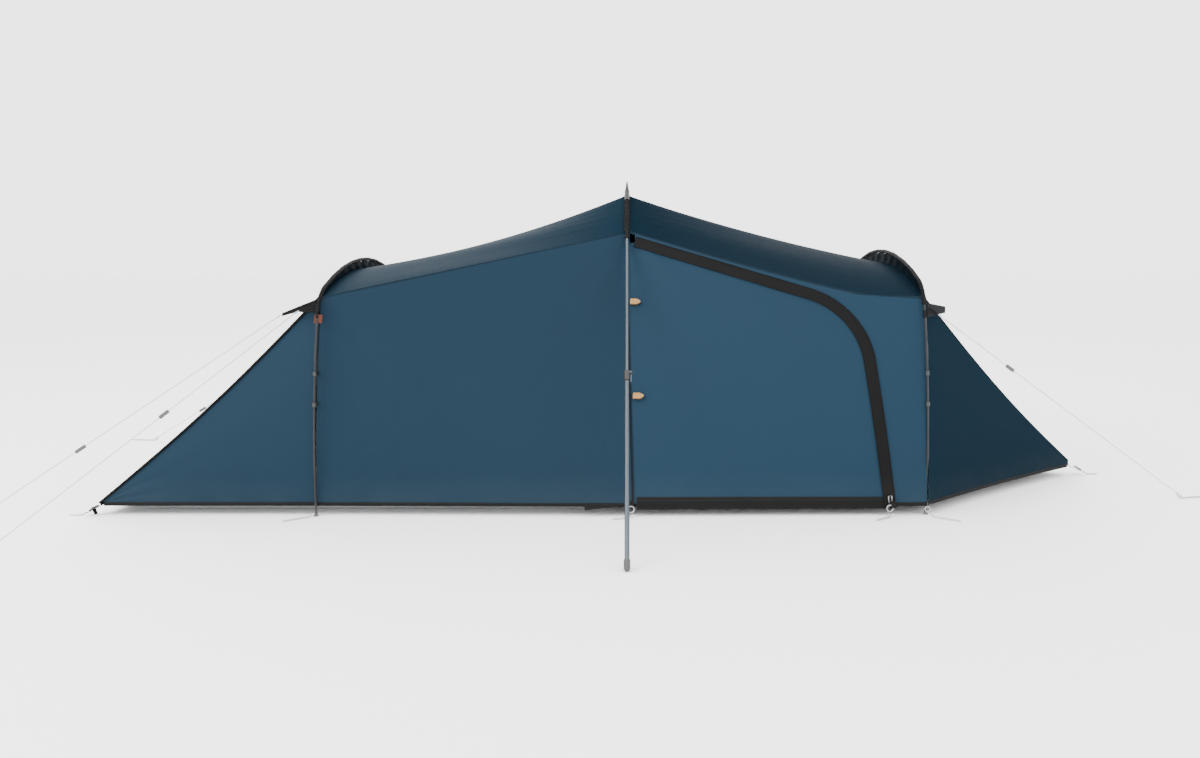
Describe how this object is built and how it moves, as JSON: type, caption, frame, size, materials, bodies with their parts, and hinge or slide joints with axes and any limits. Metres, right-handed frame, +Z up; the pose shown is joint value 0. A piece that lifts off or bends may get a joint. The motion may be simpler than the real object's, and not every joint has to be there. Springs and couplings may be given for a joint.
{
  "type": "frame tent",
  "caption": "Touring tent with a tall external A-frame of telescopic legs, a low hoop at each end, a zipped side door, an inner tent, a wide and a pointed tail, and pegged guys.",
  "frame": {"origin": "on the ground at the middle of the A-frame, which is also the middle of the tent's footprint without its guys", "axes": "+X along the ridge to the pointed tail, -Y the door side, +Z up"},
  "size_m": [5.1963, 2.6151, 1.363],
  "materials": {
    "fly_wall": "woven, silicone coated, satin",
    "fly_roof": "woven, silicone coated, satin",
    "trim_webbing": "black webbing and binding",
    "zip_teeth": "moulded coil",
    "zip_metal": "cast",
    "hoop_alloy": "anodised black",
    "bright_alloy": "anodised, satin",
    "black_plastic": "moulded, fine grain",
    "foot_rubber": "moulded",
    "peg_alloy": "drawn wire",
    "amber_toggle": "moulded",
    "groundsheet": "coated, matt",
    "inner_cloth": "light woven",
    "inner_mesh": "fine mesh",
    "guy_cord": "braided"
  },
  "bodies": {
    "root": {"fly_roof_left": "fly_roof", "fly_roof_right": "fly_roof", "fly_wall_left_front": "fly_wall", "fly_wall_left_back": "fly_wall", "fly_wall_right_front": "fly_wall", "fly_wall_right_back": "fly_wall", "fly_end_left": "fly_roof", "fly_tail_left_front": "fly_wall", "fly_tail_left_back": "fly_wall", "fly_tail_right_front": "fly_roof", "fly_tail_right_back": "fly_roof", "zip_row": "zip_teeth", "hoop_pole_left": "hoop_alloy", "hoop_pole_right": "hoop_alloy", "hoop_sleeves": "trim_webbing", "hoop_web": "trim_webbing", "hoop_ferrules": "bright_alloy", "hoop_clips": "black_plastic", "hoop_feet": "black_plastic", "apex_hub": "black_plastic", "apex_cap": "black_plastic", "leg_sleeves": "trim_webbing", "leg_upper_front": "bright_alloy", "leg_upper_back": "bright_alloy", "hem_binding": "trim_webbing", "webbing_straps": "trim_webbing", "strap_buckles": "black_plastic", "ground_pegs": "peg_alloy", "inner_tub": "groundsheet", "inner_canopy": "inner_cloth", "inner_head_wall": "inner_cloth", "guy_pegs": "peg_alloy", "guy_line_1": "guy_cord", "guy_line_2": "guy_cord", "guy_line_3": "guy_cord", "guy_line_4": "guy_cord", "guy_line_5": "guy_cord", "guy_line_6": "guy_cord"},
    "door": {"door_panel": "fly_wall", "door_storm_flap": "trim_webbing", "door_hem": "trim_webbing"},
    "zip_slider": {"zip_slider": "zip_metal"},
    "zip_pull": {"zip_pull": "trim_webbing"},
    "leg_front": {"leg_lower_front": "bright_alloy", "lock_collar_front": "black_plastic", "leg_foot_front": "foot_rubber"},
    "leg_back": {"leg_lower_back": "bright_alloy", "lock_collar_back": "black_plastic", "leg_foot_back": "foot_rubber"},
    "lock_lever_front": {"lock_lever_front": "bright_alloy"},
    "lock_lever_back": {"lock_lever_back": "bright_alloy"},
    "toggle_upper": {"door_toggle_upper": "amber_toggle"},
    "toggle_lower": {"door_toggle_lower": "amber_toggle"},
    "inner_door": {"inner_door": "inner_mesh"},
    "guy_slider_1": {"guy_slider_1": "black_plastic"},
    "guy_slider_2": {"guy_slider_2": "black_plastic"},
    "guy_slider_3": {"guy_slider_3": "black_plastic"},
    "guy_slider_4": {"guy_slider_4": "black_plastic"},
    "guy_slider_5": {"guy_slider_5": "black_plastic"},
    "guy_slider_6": {"guy_slider_6": "black_plastic"}
  },
  "joints": [
    {"name": "door_swing", "type": "hinge", "parent": "root", "child": "door", "pos_m": [0.034, -0.66457, 0.05], "axis": [0.0245, -0.4125, -0.9106], "range_deg": [0, 55]},
    {"name": "zip_slide", "type": "slide", "parent": "door", "child": "zip_slider", "axis": [-0.1094, 0.0799, 0.9908], "range_m": [0, 0.3]},
    {"name": "zip_pull_swing", "type": "hinge", "parent": "zip_slider", "child": "zip_pull", "pos_m": [1.02892, -0.67103, 0.07788], "axis": [-0.994, 0, -0.1097], "range_deg": [0, 140]},
    {"name": "leg_front_slide", "type": "slide", "parent": "root", "child": "leg_front", "axis": [0, 0.6969, 0.7172], "range_m": [0, 0.44]},
    {"name": "leg_back_slide", "type": "slide", "parent": "root", "child": "leg_back", "axis": [0, -0.6969, 0.7172], "range_m": [0, 0.44]},
    {"name": "lock_lever_front_flip", "type": "hinge", "parent": "leg_front", "child": "lock_lever_front", "pos_m": [0.016, -0.72734, 0.56947], "axis": [0, -0.7172, 0.6969], "range_deg": [0, 110]},
    {"name": "lock_lever_back_flip", "type": "hinge", "parent": "leg_back", "child": "lock_lever_back", "pos_m": [0.016, 0.72734, 0.56947], "axis": [0, -0.7172, -0.6969], "range_deg": [0, 110]},
    {"name": "toggle_upper_turn", "type": "hinge", "parent": "door", "child": "toggle_upper", "pos_m": [0.01319, -0.33438, 0.823], "axis": [0.0245, -0.4125, -0.9106], "range_deg": [0, 45]},
    {"name": "toggle_lower_turn", "type": "hinge", "parent": "door", "child": "toggle_lower", "pos_m": [0.02331, -0.50472, 0.447], "axis": [0.0245, -0.4125, -0.9106], "range_deg": [0, 45]},
    {"name": "inner_door_swing", "type": "hinge", "parent": "root", "child": "inner_door", "pos_m": [-0.068, 0.282, 0.15], "axis": [0, 0, 1], "range_deg": [0, 95]},
    {"name": "guy_slide_1", "type": "slide", "parent": "root", "child": "guy_slider_1", "axis": [0.7597, 0.3167, 0.5679], "range_m": [-0.2, 0.3]},
    {"name": "guy_slide_2", "type": "slide", "parent": "root", "child": "guy_slider_2", "axis": [0.6672, 0.4313, 0.6073], "range_m": [-0.2, 0.3]},
    {"name": "guy_slide_3", "type": "slide", "parent": "root", "child": "guy_slider_3", "axis": [0.8508, -0.0627, 0.5218], "range_m": [-0.2, 0.3]},
    {"name": "guy_slide_4", "type": "slide", "parent": "root", "child": "guy_slider_4", "axis": [0.6388, -0.4571, 0.6188], "range_m": [-0.2, 0.3]},
    {"name": "guy_slide_5", "type": "slide", "parent": "root", "child": "guy_slider_5", "axis": [-0.8036, -0.1729, 0.5696], "range_m": [-0.2, 0.3]},
    {"name": "guy_slide_6", "type": "slide", "parent": "root", "child": "guy_slider_6", "axis": [-0.6487, -0.4579, 0.6079], "range_m": [-0.2, 0.3]}
  ]
}
